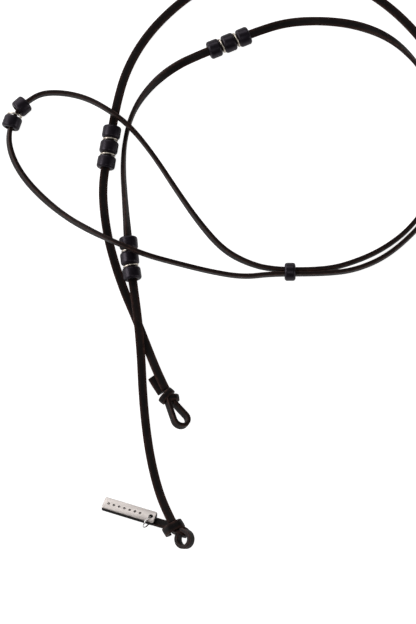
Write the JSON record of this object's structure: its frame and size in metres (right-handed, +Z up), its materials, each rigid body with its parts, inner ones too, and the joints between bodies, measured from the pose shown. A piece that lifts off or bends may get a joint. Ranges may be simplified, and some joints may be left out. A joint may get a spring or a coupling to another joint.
{
  "type": "eyeglasses strap",
  "caption": "Dark leather lace strap for eyeglasses with black barrel beads, thin brass-coloured spacer rings, a bead slider, a knotted loop for each temple and a small metal bar tag.",
  "frame": {"origin": "centre of the bounding box in plan, on the table the strap lies on", "axes": "+Z up from the table, +Y from the temple knots towards the top of the neck part, +X towards the right neck loop"},
  "size_m": [0.1587, 0.2115, 0.0101],
  "materials": {
    "leather_lace": "satin",
    "black_bead": "matte",
    "brass_ring": "polished",
    "tag_metal": "brushed",
    "silver_ring": "polished"
  },
  "bodies": {
    "lace_and_knots": {"lace_temple_run_a": "leather_lace", "lace_top_arc": "leather_lace", "lace_neck_twist_a": "leather_lace", "lace_neck_run_a": "leather_lace", "lace_end_loop_low": "leather_lace", "lace_end_loop_tip": "leather_lace", "lace_end_loop_high": "leather_lace", "lace_neck_run_b": "leather_lace", "lace_neck_twist_b": "leather_lace", "lace_crown_run": "leather_lace", "lace_shoulder_twist": "leather_lace", "lace_waist_twist": "leather_lace", "lace_temple_run_b": "leather_lace", "knot_a": "leather_lace", "knot_b": "leather_lace", "temple_loop_a": "leather_lace", "temple_loop_b": "leather_lace", "lace_tail_a": "leather_lace", "lace_tail_b": "leather_lace", "spacer_tip": "brass_ring"},
    "slider": {"slider_bead": "black_bead"},
    "group_a": {"spacer_a1": "brass_ring", "spacer_a2": "brass_ring"},
    "group_b": {"spacer_b1": "brass_ring", "spacer_b2": "brass_ring"},
    "group_c": {"spacer_c1": "brass_ring", "spacer_c2": "brass_ring"},
    "tag": {"name_tag": "tag_metal"},
    "ring": {"jump_ring": "silver_ring"},
    "bead_a1": {"bead_a1": "black_bead"},
    "bead_a2": {"bead_a2": "black_bead"},
    "bead_a3": {"bead_a3": "black_bead"},
    "bead_c1": {"bead_c1": "black_bead"},
    "bead_c2": {"bead_c2": "black_bead"},
    "bead_c3": {"bead_c3": "black_bead"},
    "bead_b1": {"bead_b1": "black_bead"},
    "bead_b2": {"bead_b2": "black_bead"},
    "bead_b3": {"bead_b3": "black_bead"},
    "bead_tip1": {"bead_tip1": "black_bead"},
    "bead_tip2": {"bead_tip2": "black_bead"}
  },
  "joints": [
    {"name": "slider_slide", "type": "slide", "parent": "lace_and_knots", "child": "slider", "axis": [1, 0, 0], "range_m": [0, 0.0059]},
    {"name": "group_a_slide", "type": "slide", "parent": "lace_and_knots", "child": "group_a", "axis": [0.1633, 0.9866, 0], "range_m": [-0.003, 0.0012]},
    {"name": "group_b_slide", "type": "slide", "parent": "lace_and_knots", "child": "group_b", "axis": [0.1088, -0.9941, 0], "range_m": [-0.0012, 0.001]},
    {"name": "group_c_slide", "type": "slide", "parent": "lace_and_knots", "child": "group_c", "axis": [-0.9206, -0.3905, 0], "range_m": [-0.002, 0.002]},
    {"name": "bead_a1_spin", "type": "hinge", "parent": "group_a", "child": "bead_a1", "pos_m": [-0.04319, 0.03199, 0.0032], "axis": [0.1633, 0.9866, 0], "continuous": true},
    {"name": "bead_a2_spin", "type": "hinge", "parent": "group_a", "child": "bead_a2", "pos_m": [-0.0423, 0.03741, 0.0032], "axis": [0.1633, 0.9866, 0], "continuous": true},
    {"name": "bead_a3_spin", "type": "hinge", "parent": "group_a", "child": "bead_a3", "pos_m": [-0.0414, 0.04284, 0.0032], "axis": [0.1633, 0.9866, 0], "continuous": true},
    {"name": "bead_c1_spin", "type": "hinge", "parent": "group_c", "child": "bead_c1", "pos_m": [0.00436, 0.07736, 0.0032], "axis": [-0.9206, -0.3905, 0], "continuous": true},
    {"name": "bead_c2_spin", "type": "hinge", "parent": "group_c", "child": "bead_c2", "pos_m": [-0.0007, 0.07522, 0.0032], "axis": [-0.9206, -0.3905, 0], "continuous": true},
    {"name": "bead_c3_spin", "type": "hinge", "parent": "group_c", "child": "bead_c3", "pos_m": [-0.00576, 0.07307, 0.0032], "axis": [-0.9206, -0.3905, 0], "continuous": true},
    {"name": "bead_b1_spin", "type": "hinge", "parent": "group_b", "child": "bead_b1", "pos_m": [-0.03542, 0.00299, 0.0032], "axis": [0.0748, -0.9972, 0], "continuous": true},
    {"name": "bead_b2_spin", "type": "hinge", "parent": "group_b", "child": "bead_b2", "pos_m": [-0.03501, -0.00249, 0.0032], "axis": [0.1088, -0.9941, 0], "continuous": true},
    {"name": "bead_b3_spin", "type": "hinge", "parent": "group_b", "child": "bead_b3", "pos_m": [-0.03422, -0.00793, 0.0032], "axis": [0.1426, -0.9898, 0], "continuous": true},
    {"name": "bead_tip1_spin", "type": "hinge", "parent": "lace_and_knots", "child": "bead_tip1", "pos_m": [-0.0759, 0.0464, 0.0032], "axis": [0.3304, 0.9439, 0], "continuous": true},
    {"name": "bead_tip2_spin", "type": "hinge", "parent": "lace_and_knots", "child": "bead_tip2", "pos_m": [-0.07255, 0.0522, 0.0032], "axis": [0.7348, 0.6783, 0], "continuous": true},
    {"name": "tag_swing", "type": "hinge", "parent": "lace_and_knots", "child": "tag", "pos_m": [-0.0276, -0.095, 0.00165], "axis": [0.0122, 0.322, 0.9467], "range_deg": [0, 20]},
    {"name": "jump_ring_spin", "type": "hinge", "parent": "tag", "child": "ring", "pos_m": [-0.02874, -0.09596, 0.00302], "axis": [0.762, -0.616, 0.1997], "continuous": true}
  ]
}
